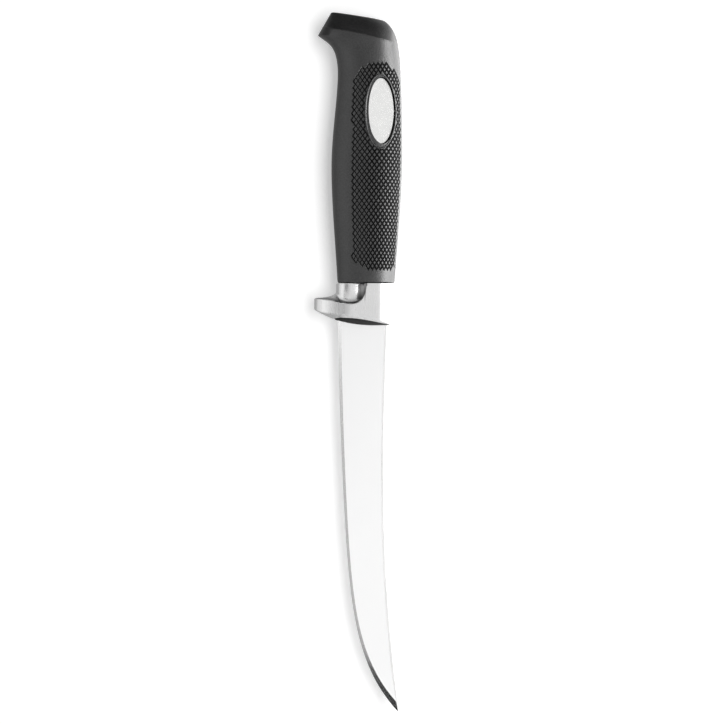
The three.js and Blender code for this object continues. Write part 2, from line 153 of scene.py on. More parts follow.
def egg_ring(edge, spine, crest, half, columns, fullness=(FINGER_FULLNESS, PALM_FULLNESS)):
    """Evenly spread points of an egg between two XY points, from the spine over the near side and back."""
    edge = np.array(edge[:2], float)
    spine = np.array(spine[:2], float)
    top = edge + (spine - edge) * crest
    turn = np.linspace(0, 2 * math.pi, OUTLINE_POINTS + 1)
    power = 2 / np.where(np.cos(turn) < 0, *fullness)
    across = np.sign(np.cos(turn)) * np.abs(np.cos(turn)) ** power
    up = np.sign(np.sin(turn)) * np.abs(np.sin(turn)) ** power
    reach = np.where(across[:, None] > 0, spine - top, edge - top)
    outline = np.column_stack([top + np.abs(across)[:, None] * reach, half * up])
    length = np.concatenate([[0], np.cumsum(np.linalg.norm(np.diff(outline, axis=0), axis=1))])
    even = np.linspace(0, length[-1], columns + 1)[:-1]
    return np.column_stack([np.interp(even, length, outline[:, k]) for k in range(3)])


# %% [markdown]
# The grip is lofted over two rails, one along the fingers and one along the palm. Each rail is a smooth
# curve through a few measured points, the same ones that the solid uses: joint, belly, neck, root of the
# beak, and the tip of the beak.

# %% The grip's rails
FIT = 0.3
FINGER_RAIL = [
    (-11.35, FIT, 7.5), (-13.75, 47, 9.5), (-11.4, 87, 8.8), (-13.6, 93.96, 8.76), (-19.1, 98.6, 8.72),
]
PALM_RAIL = [(11.35, FIT, 0), (14.3, 47, 0), (13.45, 88, 0), (13.1, 91.53, 0), (12.85, 93.25, 0)]
RAIL_STEPS = 1200


def smooth_rail(points, share):
    """A point on a centripetal curve through the points; share runs from 0 to 1."""
    points = [np.array(p, float) for p in points]
    points = [2 * points[0] - points[1]] + points + [2 * points[-1] - points[-2]]
    place = share * (len(points) - 3)
    start = min(int(place), len(points) - 4)
    local = place - start
    a, b, c, d = points[start:start + 4]
    before, here, after = (np.linalg.norm(q - p) ** 0.5 for p, q in ((a, b), (b, c), (c, d)))
    leave = here * ((b - a) / before - (c - a) / (before + here) + (c - b) / here)
    arrive = here * ((c - b) / here - (d - b) / (here + after) + (d - c) / after)
    cubic = 2 * b - 2 * c + leave + arrive
    square = -3 * b + 3 * c - 2 * leave - arrive
    return ((cubic * local + square) * local + leave) * local + b


rail_shares = np.linspace(0, 1, RAIL_STEPS + 1)
finger_points = np.array([smooth_rail(FINGER_RAIL, s) for s in rail_shares])
palm_points = np.array([smooth_rail(PALM_RAIL, s) for s in rail_shares])
station_y = (finger_points[:, 1] + palm_points[:, 1]) / 2
print("rails run from", station_y[0].round(2), "to", station_y[-1].round(2), "mm")

# %% [markdown]
# The checkering is a lattice of diamonds. If the skin's grid has two columns and two rows for each diamond,
# then every second vertex is a diamond's top and the ones between are its corners, where the grooves meet.
# So the skin is made on that grid from the start, and the pattern only has to press the corners in. The
# columns follow the rails, so the diamonds get a little narrower towards the joint.

# %% The grip's rings
COLUMNS = 76
GRIP_CREST = 0.58
BEAK_CREST = 3.0
BEAK_START = 0.5
BEAK_RINGS = 14
SOCKET_FULLNESS = 3.4
DIAMOND_HALF = 1.285
FRONT_ROUND = 0.4
PATTERN_END = 90.0


def grip_ring(share, inset=0.0, slide=0.0):
    """The grip's section at a share of its rails, drawn in by inset and moved along by slide."""
    finger = smooth_rail(FINGER_RAIL, share)
    palm = smooth_rail(PALM_RAIL, share)
    edge = (finger[0] + inset, finger[1] + slide)
    spine = (palm[0] - inset, palm[1] + slide)
    crest = GRIP_CREST
    if share > BEAK_START:
        crest = (BEAK_CREST - finger[0]) / (palm[0] - finger[0])
    return egg_ring(edge, spine, crest, finger[2] - inset, COLUMNS)


core_low, core_high = (TO_FRAME.inverted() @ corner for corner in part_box("handle_core"))
socket_half = (core_high.z - core_low.z) / 2 + FIT
socket_edge = (core_low.x - FIT, 0)
socket_spine = (core_high.x + FIT, 0)
socket_end = core_high.y + FIT


def socket_ring(y):
    """The hole for the handle's core, at a place along the knife."""
    fullness = (SOCKET_FULLNESS, SOCKET_FULLNESS)
    ring = egg_ring(socket_edge, socket_spine, 0.5, socket_half, COLUMNS, fullness)
    ring[:, 1] = y
    return ring


front_rings = [
    socket_ring(socket_end),
    socket_ring(FIT),
    grip_ring(0, FRONT_ROUND),
    grip_ring(0, FRONT_ROUND * 0.3, FRONT_ROUND * 0.3),
]
pattern_y = np.arange(FIT + DIAMOND_HALF, PATTERN_END, DIAMOND_HALF)
pattern_rings = [grip_ring(np.interp(y, station_y, rail_shares)) for y in pattern_y]
pattern_start = len(front_rings)
pattern_end_share = np.interp(PATTERN_END, station_y, rail_shares)
beak_shares = np.linspace(pattern_end_share, 1, BEAK_RINGS + 1)[1:]
beak_rings = [grip_ring(share) for share in beak_shares]
print(len(pattern_rings), "rows of half diamonds along the grip")

# %% [markdown]
# The pommel's end is a bevel that leaves the side along a crisp crease. Its finger side is a straight line
# from the beak to the top corner and its palm side is a curve over the shoulder. The crease gets two rings
# close together, so that the light finds a narrow broken edge there.

# %% The pommel's rings
BUTT_FINGER = [(-17.43, 101.5), (-13.8, 107.8)]
BUTT_PALM = [(12.67, 94.45), (11.65, 101.6), (7.15, 104.5)]
CREASE_HALF = 8.69
BUTT_HALF = 3.5
BUTT_ROUND = 0.5
CREASE_STRIP = 0.04
CREASE_SWELL = 0.09


def butt_ring(share, inset=0.0):
    """The bevelled end of the pommel; share runs from the crease to the end face."""
    finger = np.array(BUTT_FINGER[0]) * (1 - share) + np.array(BUTT_FINGER[1]) * share
    a, b, c = (np.array(p) for p in BUTT_PALM)
    palm = a * (1 - share) ** 2 + 2 * b * share * (1 - share) + c * share ** 2
    half = CREASE_HALF + (BUTT_HALF - CREASE_HALF) * share
    crest = (BEAK_CREST * (1 - share) - finger[0]) / (palm[0] - finger[0])
    edge = (finger[0] + inset, finger[1])
    spine = (palm[0] - inset, palm[1])
    return egg_ring(edge, spine, crest, half - inset, COLUMNS)


butt_rings = [butt_ring(0), butt_ring(CREASE_STRIP, -CREASE_SWELL)]
butt_rings += [butt_ring(share) for share in np.linspace(0.1, 0.93, 13)]
butt_rings += [butt_ring(0.98, BUTT_ROUND * 0.3), butt_ring(1, BUTT_ROUND)]
grip_rings = front_rings + pattern_rings + beak_rings + butt_rings
crease_row = len(grip_rings) - len(butt_rings)
print("grip skin:", len(grip_rings), "rings of", COLUMNS)

# %% [markdown]
# The checkered panel covers most of each side. It starts at a straight line on the finger side, arches at
# both ends and runs to the back of the grip. The oval plate has a smooth collar round it, where the pattern
# stops. A vertex belongs to the pattern if it lies inside the panel and outside the collar.

# %% Where the checkering goes
PANEL_EDGE = -5.75
PANEL_FRONT = 4.3
PANEL_REAR = 87.7
PANEL_CREST = 5.5
FRONT_ARCH = (5.5, 4.6)
REAR_ARCH = (7.4, 8.0)
PANEL_BACK = 13.8
PANEL_MARGIN = 0.35
BADGE_CENTRE = (6.05, 68.0)
BADGE_TILT = math.radians(18)
BADGE_HALF = (5.475, 12.9)
COLLAR_GROW = (0.75, 1.4)
COLLAR_CENTRE = (5.7, 67.55)


def arch(x, depths):
    """How far the panel's end draws back at x; depths are for the finger and the palm side."""
    if x < PANEL_CREST:
        return depths[0] * ((PANEL_CREST - x) / (PANEL_CREST - PANEL_EDGE)) ** 2.4
    return depths[1] * ((x - PANEL_CREST) / (PANEL_BACK - PANEL_CREST)) ** 2.2


def in_panel(x, y):
    """True on a panel's checkered field, seen square on."""
    palm_x = np.interp(y, palm_points[:, 1], palm_points[:, 0])
    if x < PANEL_EDGE or x > palm_x - PANEL_MARGIN:
        return False
    return PANEL_FRONT + arch(x, FRONT_ARCH) < y < PANEL_REAR - arch(x, REAR_ARCH)


def in_collar(x, y):
    """True inside the plate's collar, seen square on."""
    half_x = (BADGE_HALF[0] + COLLAR_GROW[0]) * math.cos(BADGE_TILT)
    across = (x - COLLAR_CENTRE[0]) / half_x
    along = (y - COLLAR_CENTRE[1]) / (BADGE_HALF[1] + COLLAR_GROW[1])
    return across * across + along * along < 1


# %% [markdown]
# The corners of the diamonds go in along the skin's normal, and each square of the grid is split between
# its two corners so that the groove runs straight. The points between them are pulled up to sharp pyramids
# later, which are cut off level with the skin. The checkered faces stay flat shaded: they are cut crisply
# in the mould.

# %% The grip's skin
GROOVE_PLACES = (-5, -4, 6)
GROOVE_DEPTHS = (0.8, 0.42, 0.75)
CORNER, TOP, RIM = 1, 2, 3

grip_bm = rolled_skin(grip_rings)
row_layer = grip_bm.verts.layers.int["row"]
column_layer = grip_bm.verts.layers.int["column"]
groove_layer = grip_bm.verts.layers.int.new("groove")
close_ends(grip_bm)
grip_bm.normal_update()

last_pattern_row = pattern_start + len(pattern_rings) - 1
grooved = []
for vert in grip_bm.verts:
    row = vert[row_layer]
    x, y, z = vert.co
    if not pattern_start < row < last_pattern_row or (row + vert[column_layer]) % 2 == 0:
        continue
    if in_panel(x, y) and not (z > 0 and in_collar(x, y)):
        grooved.append(vert)
skin_normals = {(vert[row_layer], vert[column_layer]): vert.normal.copy() for vert in grip_bm.verts}


def groove_depth(x):
    """The grooves start deep at the panel's finger edge, and get deeper again towards the palm."""
    return np.interp(x, GROOVE_PLACES, GROOVE_DEPTHS)


surface = {vert: vert.co.copy() for vert in grooved}
for vert in grooved:
    vert.co -= skin_normals[vert[row_layer], vert[column_layer]] * groove_depth(vert.co.x)
    vert[groove_layer] = CORNER
print(len(grooved), "groove crossings")

# %% [markdown]
# Joining the corners of each square draws the grooves on the skin. A vertex that now has only corners for
# its four neighbours is the top of a diamond.

# %% Splitting the diamonds and finding their tops
bmesh.ops.connect_verts(grip_bm, verts=grooved)
tops = []
for vert in grip_bm.verts:
    if vert[groove_layer] == 0 and len(vert.link_edges) == 4:
        if all(edge.other_vert(vert)[groove_layer] for edge in vert.link_edges):
            tops.append(vert)
print(len(tops), "diamonds")

# %% [markdown]
# At the border of the panel the grooves end in small notches. A corner there still has neighbours outside
# the pattern, and the slope up to them would be long and shallow. Each such edge is split close to the
# corner, with the new vertex on the skin, so that the notch gets a steep end wall.

# %% Steep ends for the grooves
NOTCH_END = 0.6
for vert in tops:
    vert[groove_layer] = TOP
rims = []
for vert in grooved:
    for edge in list(vert.link_edges):
        outside = edge.other_vert(vert)
        if outside[groove_layer] == 0:
            rim = bmesh.utils.edge_split(edge, vert, NOTCH_END)[1]
            rim.co = surface[vert].lerp(outside.co, NOTCH_END)
            rim[groove_layer] = RIM
            rims.append(rim)
bmesh.ops.connect_verts(grip_bm, verts=rims)
print(len(rims), "points on the border")

# %% [markdown]
# A vertex bevel leaves a flat diamond on each top. It takes a percentage of the edges that meet there: the
# larger it is, the wider the flat and the narrower the groove. To end level with the skin, the top first
# goes up by what the bevel will take off. The flats get smaller from the finger side to the palm side, line
# by line.

# %% Cutting the tops off level with the skin
TOP_PLACES = (-4, 7)
TOP_SHARES = (0.78, 0.44)


def cut_tops(tops, share):
    """Cuts diamonds off level with the skin; share is the flat's part of the diamond."""
    for vert in tops:
        raise_by = groove_depth(vert.co.x) * share / (1 - share)
        vert.co += skin_normals[vert[row_layer], vert[column_layer]] * raise_by
    bmesh.ops.bevel(
        grip_bm, geom=tops, offset=100 * share, offset_type="PERCENT", affect="VERTICES",
        segments=1, profile=0.5, material=-1,
    )


lines = {}
for vert in tops:
    lines.setdefault(vert[column_layer], []).append(vert)
for line in lines.values():
    cut_tops(line, np.interp(line[0].co.x, TOP_PLACES, TOP_SHARES))
shade(grip_bm)
for edge in grip_bm.edges:
    if {vert[row_layer] for vert in edge.verts} in ({crease_row}, {crease_row + 1}):
        edge.smooth = False
for face in grip_bm.faces:
    marks = [vert[groove_layer] for vert in face.verts]
    if CORNER in marks or TOP in marks:
        face.smooth = False
grip = add_piece(grip_bm, "grip_skin", "grip_rubber", "grip")

# %% [markdown]
# The plate lies in a pocket. A Boolean modifier will take an oval punch out of the skin, as the mould's
# insert would. The punch works in the badge's own frame, which leans towards the spine side as the grip's
# surface does there.

# %% The punch for the pocket
BADGE_DEPTH = 2.2
POCKET_FLOOR = -1.7
PUNCH_HEIGHT = 8
OVAL_SEGMENTS = 128
finger_half = np.interp(BADGE_CENTRE[1], finger_points[:, 1], finger_points[:, 2])
BADGE_FRAME = (
    Matrix.Translation((BADGE_CENTRE[0], BADGE_CENTRE[1], finger_half - BADGE_DEPTH))
    @ Matrix.Rotation(BADGE_TILT, 4, "Y")
)


def oval_disc(half_x, half_y, foot, height):
    """An oval disc of a height, whose lower face is centred on foot."""
    bm = bmesh.new()
    bmesh.ops.create_circle(bm, cap_ends=True, segments=OVAL_SEGMENTS, radius=1)
    bmesh.ops.scale(bm, vec=(half_x, half_y, 1), verts=bm.verts)
    bmesh.ops.translate(bm, vec=foot, verts=bm.verts)
    raised = bmesh.ops.extrude_face_region(bm, geom=bm.faces[:])["geom"]
    top = [item for item in raised if isinstance(item, bmesh.types.BMVert)]
    bmesh.ops.translate(bm, vec=(0, 0, height), verts=top)
    bmesh.ops.recalc_face_normals(bm, faces=bm.faces)
    return bm


punch_bm = oval_disc(BADGE_HALF[0] + FIT, BADGE_HALF[1] + FIT, (0, 0, POCKET_FLOOR), PUNCH_HEIGHT)
bmesh.ops.transform(punch_bm, matrix=TO_FRAME @ BADGE_FRAME, verts=punch_bm.verts)
punch = new_object(punch_bm, "punch")

# %% [markdown]
# The modifier's result is read from the evaluated object, and then neither modifier nor punch is needed any
# more. Where the punch passes close to a vertex, the cut can leave a sliver without area, so slivers are
# dissolved.

# %% The pocket for the plate
SLIVER = 5e-6
cut = grip.modifiers.new("pocket", "BOOLEAN")
cut.operation = "DIFFERENCE"
cut.solver = "EXACT"
cut.object = punch
evaluated = grip.evaluated_get(bpy.context.evaluated_depsgraph_get())
cut_mesh = bpy.data.meshes.new_from_object(evaluated)
cut_bm = bmesh.new()
cut_bm.from_mesh(cut_mesh)
bmesh.ops.dissolve_degenerate(cut_bm, dist=SLIVER, edges=cut_bm.edges)
cut_bm.to_mesh(cut_mesh)
cut_bm.free()
grip.modifiers.remove(cut)
uncut_mesh = grip.data
grip.data = cut_mesh
bpy.data.meshes.remove(uncut_mesh)
punch_mesh = punch.data
bpy.data.objects.remove(punch)
bpy.data.meshes.remove(punch_mesh)
print("grip with its pocket has", len(cut_mesh.polygons), "faces")

# %% [markdown]
# The collar is a low lip of the same rubber round the pocket. Its rings are ovals in the badge's frame that
# are laid on the skin: each point looks up how high the egg section is there and stands a little above it.
# The last ring goes down into the pocket and the first is buried, so the lip has no open side.

# %% The collar round the plate
COLLAR_PROFILE = [
    (1.45, 2.2, -0.9), (1.2, 1.95, 0.0), (1.1, 1.85, 0.3),
    (1.0, 1.72, 0.42), (0.85, 1.55, 0.42), (0.75, 1.4, 0.3),
]
POCKET_LEVELS = (0.05, 0.0, POCKET_FLOOR - 0.2)
POCKET_PLAY = FIT * 0.8


def skin_height(x, y):
    """How high the grip's near side is at x and y."""
    finger = [np.interp(y, finger_points[:, 1], finger_points[:, k]) for k in (0, 2)]
    palm_x = np.interp(y, palm_points[:, 1], palm_points[:, 0])
    crest_x = finger[0] + (palm_x - finger[0]) * GRIP_CREST
    reach = np.where(x > crest_x, palm_x - crest_x, crest_x - finger[0])
    fullness = np.where(x > crest_x, PALM_FULLNESS, FINGER_FULLNESS)
    share = np.clip(np.abs(x - crest_x) / reach, 0, 1)
    return finger[1] * (1 - share ** fullness) ** (1 / fullness)


oval_turn = np.linspace(0, 2 * math.pi, OVAL_SEGMENTS + 1)[:-1]
oval_cos = np.cos(oval_turn)
oval_sin = np.sin(oval_turn)
badge_normal = np.array([math.sin(BADGE_TILT), 0, math.cos(BADGE_TILT)])


def collar_ring(side, end, lift):
    """An oval round the plate, grown at its sides and ends, that stands the given height above the skin."""
    x = COLLAR_CENTRE[0] + (BADGE_HALF[0] + side) * oval_cos * math.cos(BADGE_TILT)
    y = COLLAR_CENTRE[1] + (BADGE_HALF[1] + end) * oval_sin
    return np.column_stack([x, y, skin_height(x, y)]) + lift * badge_normal


def pocket_ring(level):
    """The pocket's wall at a height of the badge's frame."""
    local = np.column_stack([
        (BADGE_HALF[0] + POCKET_PLAY) * oval_cos,
        (BADGE_HALF[1] + POCKET_PLAY) * oval_sin,
        np.full(OVAL_SEGMENTS, level),
    ])
    return np.array([BADGE_FRAME @ Vector(p) for p in local])


collar_rings = [collar_ring(*sizes) for sizes in COLLAR_PROFILE]
collar_rings += [pocket_ring(level) for level in POCKET_LEVELS]
collar_bm = rolled_skin(collar_rings, tube=True)
shade(collar_bm)
collar = add_piece(collar_bm, "badge_collar", "grip_rubber")

# %% [markdown]
# The plate is stamped from sheet: an oval disc with a softened rim and a bare face. It has a little play at
# its sides and sits nearer to the finger side, so that a dark gap shows on the other one.

# %% The oval plate
PLATE_THICKNESS = 0.8
PLATE_ROUND = 0.04
PLATE_PLAY = 0.25
PLATE_SHIFT = -0.1
plate_foot = (PLATE_SHIFT, 0, -PLATE_THICKNESS)
plate_bm = oval_disc(BADGE_HALF[0] - PLATE_PLAY, BADGE_HALF[1], plate_foot, PLATE_THICKNESS)
face_top = max(plate_bm.faces, key=lambda face: face.calc_center_median().z)
bmesh.ops.bevel(
    plate_bm, geom=list(face_top.edges), offset=PLATE_ROUND, offset_type="OFFSET", affect="EDGES",
    segments=3, profile=0.5, material=-1,
)
bmesh.ops.transform(plate_bm, matrix=BADGE_FRAME, verts=plate_bm.verts)
shade(plate_bm, 12)
plate = add_piece(plate_bm, "oval_plate", "badge_metal", "badge_plate")

# %% [markdown]
# The bolster is cast hollow and polished. Seen from its axis, every direction has one profile: down the
# neck, round the cove's fillet, out over the ledge, down the wall, over the front rim and the sloping nose
# into the mouth, and back through the slot for the tang. So it is a tube of rings whose columns follow the
# outline of the guard. On the spine side there is no cove, and there the neck is the wall itself.

# %% The bolster's guard, neck and cove
BOLSTER_COLUMNS = 160
HORN_REACH = 20.6
GUARD_CREST = 2.5
GUARD_CROWN = 7.45
FLAT_HALF = 7.0
FLAT_BEND = 0.12
LEDGE_TOP = -0.3
NECK_EDGE = 11.9
NECK_CREST = (-5.9, 5.3)
VALLEY = (-1.9, 3.8)
WALL_TOP = (-0.1, 6.95)
COVE_CURVES = [
    [(0.4, 0.6), (0.0, -3.2), (-0.2, -7.9), (-7.1, -7.9)],
    [(-7.1, -7.9), (-11.1, -7.9), (-15.6, -5.4), (-25.6, -5.4)],
]


def bezier(points, share):
    """A point on a cubic curve."""
    a, b, c, d = (np.array(p, float) for p in points)
    rest = 1 - share
    return a * rest ** 3 + 3 * b * rest ** 2 * share + 3 * c * rest * share ** 2 + d * share ** 3


cove_line = np.array([bezier(curve, share) for curve in COVE_CURVES for share in np.linspace(0, 1, 60)])
cove_line = cove_line[np.argsort(cove_line[:, 0])]


def ledge_y(x):
    """Where the cove's ledge lies along the knife, at x."""
    return np.minimum(np.interp(x, cove_line[:, 0], cove_line[:, 1]), LEDGE_TOP)


def soft_limit(value, limit, softness):
    """value, kept under limit with a rounded bend."""
    gap = value - limit
    return value - (gap + np.sqrt(gap * gap + softness * softness)) / 2


crest_share = (HORN_REACH + GUARD_CREST) / (HORN_REACH + BOLSTER_SPINE)
guard = egg_ring((-HORN_REACH, 0), (BOLSTER_SPINE, 0), crest_share, GUARD_CROWN, BOLSTER_COLUMNS)
guard = guard[:, [0, 2]]
guard[:, 1] = np.sign(guard[:, 1]) * soft_limit(np.abs(guard[:, 1]), FLAT_HALF, FLAT_BEND)
guard_turn = np.arctan2(guard[:, 1], guard[:, 0])

# %% [markdown]
# The neck, the mouth, the slot and the socket at the back are other outlines round the same axis. Each
# column needs the point of such an outline that lies in its own direction. That is read from a finely drawn
# outline, sorted by direction.

# %% Outlines in the bolster's directions
def along_columns(outline):
    """The point of a closed XZ outline in the direction of each of the bolster's columns."""
    turn = np.arctan2(outline[:, 1], outline[:, 0])
    order = np.argsort(turn)
    turn = turn[order]
    radius = np.hypot(outline[order, 0], outline[order, 1])
    turn = np.concatenate([turn - 2 * math.pi, turn, turn + 2 * math.pi])
    radius = np.interp(guard_turn, turn, np.tile(radius, 3))
    return np.column_stack([radius * np.cos(guard_turn), radius * np.sin(guard_turn)])


def rounded_outline(centre_x, half_x, half_z, fullness):
    """A finely drawn oval or rounded slot about a centre on the X axis."""
    edge = (centre_x - half_x, 0)
    spine = (centre_x + half_x, 0)
    return egg_ring(edge, spine, 0.5, half_z, OUTLINE_POINTS, (fullness, fullness))[:, [0, 2]]


MOUTH_CENTRE = -1.575
MOUTH_HALF = (11.2, 5.8)
TANG_SLOT_HALF = (4.8, 1.3)
SOCKET_HALF = (6.8, 3.4)
MOUTH_FULLNESS = 2.0
SLOT_FULLNESS = 8.0
NECK_ROUNDNESS = 0.8
neck_turn = np.linspace(0, math.pi / 2, 60)
neck_left = np.column_stack([
    NECK_CREST[0] - (NECK_CREST[0] + NECK_EDGE) * np.cos(neck_turn) ** NECK_ROUNDNESS,
    NECK_CREST[1] * np.sin(neck_turn) ** NECK_ROUNDNESS,
])
fall_x = np.linspace(NECK_CREST[0], VALLEY[0], 40)
fall = ((fall_x - NECK_CREST[0]) / (VALLEY[0] - NECK_CREST[0])) ** 2
neck_right = np.column_stack([fall_x, NECK_CREST[1] - (NECK_CREST[1] - VALLEY[1]) * fall])
neck_near = np.vstack([neck_left, neck_right, [WALL_TOP]])
neck_outline = np.vstack([neck_near, neck_near * (1, -1)])
coved = (guard[:, :1] < 0.0).astype(float)
neck = guard * (1 - coved) + along_columns(neck_outline) * coved
mouth = along_columns(rounded_outline(MOUTH_CENTRE, *MOUTH_HALF, MOUTH_FULLNESS))
slot = along_columns(rounded_outline(0, *TANG_SLOT_HALF, SLOT_FULLNESS))
socket = along_columns(rounded_outline(0, *SOCKET_HALF, SOCKET_FULLNESS))
print("cove on", int((coved > 0.5).sum()), "of", BOLSTER_COLUMNS, "columns")

# %% [markdown]
# The nose is a roof: its ridge arches along the blade and its eaves are the front rim of the flats. The
# seal will follow the same roof, so it is a function. Other small functions set an outline at a place along
# the knife, find an outline between two others, or draw one in towards the axis.

# %% The bolster's nose, and rings from outlines
NOSE_Y = -16.9
NOSE_ARCH = 44.0
RIDGE_HALF = 0.8
RIM_DROP = 2.9
RIM_LEAN = math.tan(math.radians(9.2))


def nose_y(x, z):
    """The sloping front of the bolster."""
    ridge = NOSE_Y + NOSE_ARCH - np.sqrt(NOSE_ARCH ** 2 - (x - GUARD_CREST) ** 2)
    rim = NOSE_Y + RIM_DROP - RIM_LEAN * x
    share = np.clip((np.abs(z) - RIDGE_HALF) / (FLAT_HALF - RIDGE_HALF), 0, 1.1)
    return ridge + (rim - ridge) * share


def ring_at(outline, y):
    """Points of an XZ outline at places along the knife."""
    return np.column_stack([outline[:, 0], np.broadcast_to(y, len(outline)), outline[:, 1]])


def nose_ring(outline, lift=0.0):
    """Points of an XZ outline on the nose, or lifted from it towards the grip."""
    return ring_at(outline, nose_y(outline[:, 0], outline[:, 1]) + lift)


def between(inner, outer, share):
    """An outline between two others, in each column's direction."""
    return inner + (outer - inner) * np.reshape(share, (-1, 1))


def drawn_in(outline, distance):
    """An outline moved towards the axis by a distance."""
    radius = np.linalg.norm(outline, axis=1)
    return outline * (1 - distance / radius)[:, None]


# %% [markdown]
# The cove ends in a scoop: a quarter round that carries the neck out to the ledge. It has about the same
# width everywhere, so it is stretched along the knife where the ledge runs steeply. The rings from the
# socket to the ledge come first.

# %% The bolster's socket, neck and scoop
SOCKET_FLOOR = -6.8
SOCKET_MOUTH = -0.02
SCOOP_WIDTH = 2.0
SCOOP_STRETCH = 2.5
SLOPE_STEP = 0.05
HORN_PLACES = (-18, -13)
HORN_SCOOP = (1.3, 1)
NECK_ROUND = ((0.0, 0.25), (-0.07, 0.07))
NECK_START = -0.24
NECK_SHORTEST = -0.25
LEDGE_CHAMFER = 0.6

ledge = ledge_y(guard[:, 0])
ledge_rise = ledge_y(guard[:, 0] + SLOPE_STEP) - ledge_y(guard[:, 0] - SLOPE_STEP)
scoop = SCOOP_WIDTH * np.minimum(np.hypot(1, ledge_rise / (2 * SLOPE_STEP)), SCOOP_STRETCH)
scoop *= np.interp(guard[:, 0], HORN_PLACES, HORN_SCOOP)
bolster_rings = [ring_at(slot, SOCKET_FLOOR), ring_at(socket, SOCKET_FLOOR), ring_at(socket, SOCKET_MOUTH)]


def scoop_ring(y, inset=0.0):
    """The neck at places along the knife, where the scoop carries it out towards the guard."""
    share = np.clip(1 - (y - ledge) / scoop, 0, 1)
    rise = 1 - np.sqrt(1 - share ** 2)
    return ring_at(drawn_in(between(neck, guard, rise), inset), y)


bolster_rings += [scoop_ring(np.full(BOLSTER_COLUMNS, y), inset) for y, inset in NECK_ROUND]
neck_end = np.minimum(ledge + scoop, NECK_SHORTEST)
for share in (0.0, 0.5, 1.0):
    bolster_rings.append(scoop_ring(NECK_START + share * (neck_end - NECK_START)))
step = np.linalg.norm(guard - neck, axis=1)
chamfer = np.minimum(LEDGE_CHAMFER, 0.3 * step + 0.01)
for turn in np.radians([10, 20, 30, 40, 50, 60, 70, 80]):
    depth = math.sin(turn)
    bolster_rings.append(scoop_ring(neck_end + (ledge - neck_end) * depth, chamfer * depth))
bolster_rings.append(ring_at(drawn_in(guard, chamfer), ledge))
bolster_rings.append(ring_at(drawn_in(guard, 0.06 * chamfer), ledge - 0.9 * chamfer))
bolster_rings.append(ring_at(guard, ledge - chamfer))
print(len(bolster_rings), "rings down to the ledge")

# %% [markdown]
# The other rings go down the wall, round the front rim and over the nose into the mouth. The last one lies
# on the seat round the slot, where the tube closes on its first ring.

# %% The bolster's wall, nose and mouth
EDGE_ROUND = 0.35
NOSE_INSET = 1.4 * EDGE_ROUND
MOUTH_BREAK = 0.15
SEAT_Y = -11.9

wall_top = ledge - chamfer
rim_y = nose_y(guard[:, 0], guard[:, 1])
for share in (0.04, 0.35, 0.65, 0.96, 1.0):
    bolster_rings.append(ring_at(guard, wall_top + share * (rim_y + EDGE_ROUND - wall_top)))
bolster_rings.append(nose_ring(drawn_in(guard, 0.3 * EDGE_ROUND), 0.3 * EDGE_ROUND))
bolster_rings.append(nose_ring(drawn_in(guard, EDGE_ROUND)))
for share in (1, 0.66, 0.33, 0.1):
    bolster_rings.append(nose_ring(between(mouth, drawn_in(guard, NOSE_INSET), share)))
bolster_rings += [nose_ring(mouth, MOUTH_BREAK), ring_at(mouth, SEAT_Y), ring_at(slot, SEAT_Y)]

bolster_bm = rolled_skin(bolster_rings, tube=True)

# %% [markdown]
# The bottom of the cove is painted darker, as painted shade in the hollow. A float layer on the vertices
# runs from 0 on the cove's line to 1 away from it, by the distance. The finish will read it as painted
# shade.

# %% Painted shade in the cove
COVE_SPINE = 0.6
COVE_LOW = 2.5
COVE_MARGIN = 0.5
DARK_PLACES = (-12, -7, -2)
DARK_WIDTHS = (1.3, 1.9, 2.7)
# the layer named reach holds painted shade: 0 on the cove's line, 1 where there is none
cove_shade_layer = bolster_bm.verts.layers.float.new("reach")
for vert in bolster_bm.verts:
    x, y, z = vert.co
    vert[cove_shade_layer] = 1
    if x < COVE_SPINE and abs(z) > COVE_LOW and ledge_y(x) - COVE_MARGIN < y < COVE_MARGIN:
        gap = np.hypot(cove_line[:, 0] - x, cove_line[:, 1] - y).min()
        vert[cove_shade_layer] = min(gap / np.interp(x, DARK_PLACES, DARK_WIDTHS), 1)
shade(bolster_bm, 40)
bolster = add_piece(bolster_bm, "bolster_casting", "bolster_steel", "bolster")

# %% [markdown]
# The seal is soft black filling in the bolster's mouth. It follows the nose's roof, swells a little between
# the casting and the blade, and has a slot that the blade goes through.

# %% The seal in the mouth
SEAL_REAR = -12.8
SEAL_SWELL = 0.22
SEAL_SINK = 0.2
BLADE_SLOT = 10.05
BLADE_SLOT_HALF = 1.02
BLADE_SLOT_TAPER = 0.26
seal_outer = np.column_stack([
    MOUTH_CENTRE + (MOUTH_HALF[0] - FIT) * oval_cos,
    (MOUTH_HALF[1] - FIT) * oval_sin,
])
slot_cos = np.sign(oval_cos) * np.abs(oval_cos) ** 0.8
slot_sin = np.sign(oval_sin) * np.abs(oval_sin) ** 0.6
seal_slot = np.column_stack([
    MOUTH_CENTRE + BLADE_SLOT * slot_cos,
    (BLADE_SLOT_HALF + BLADE_SLOT_TAPER * slot_cos) * slot_sin,
])

seal_rings = [ring_at(seal_slot, SEAL_REAR), ring_at(seal_outer, SEAL_REAR)]
for share in (0, 0.08, 0.25, 0.5, 0.75, 0.92, 1):
    swell = SEAL_SWELL * (1 - (2 * share - 1) ** 4)
    seal_rings.append(nose_ring(between(seal_outer, seal_slot, share), SEAL_SINK - swell))
seal_bm = rolled_skin(seal_rings, tube=True)
shade(seal_bm, 45)
seal = add_piece(seal_bm, "mouth_seal", "seal_rubber", "bolster_seal")

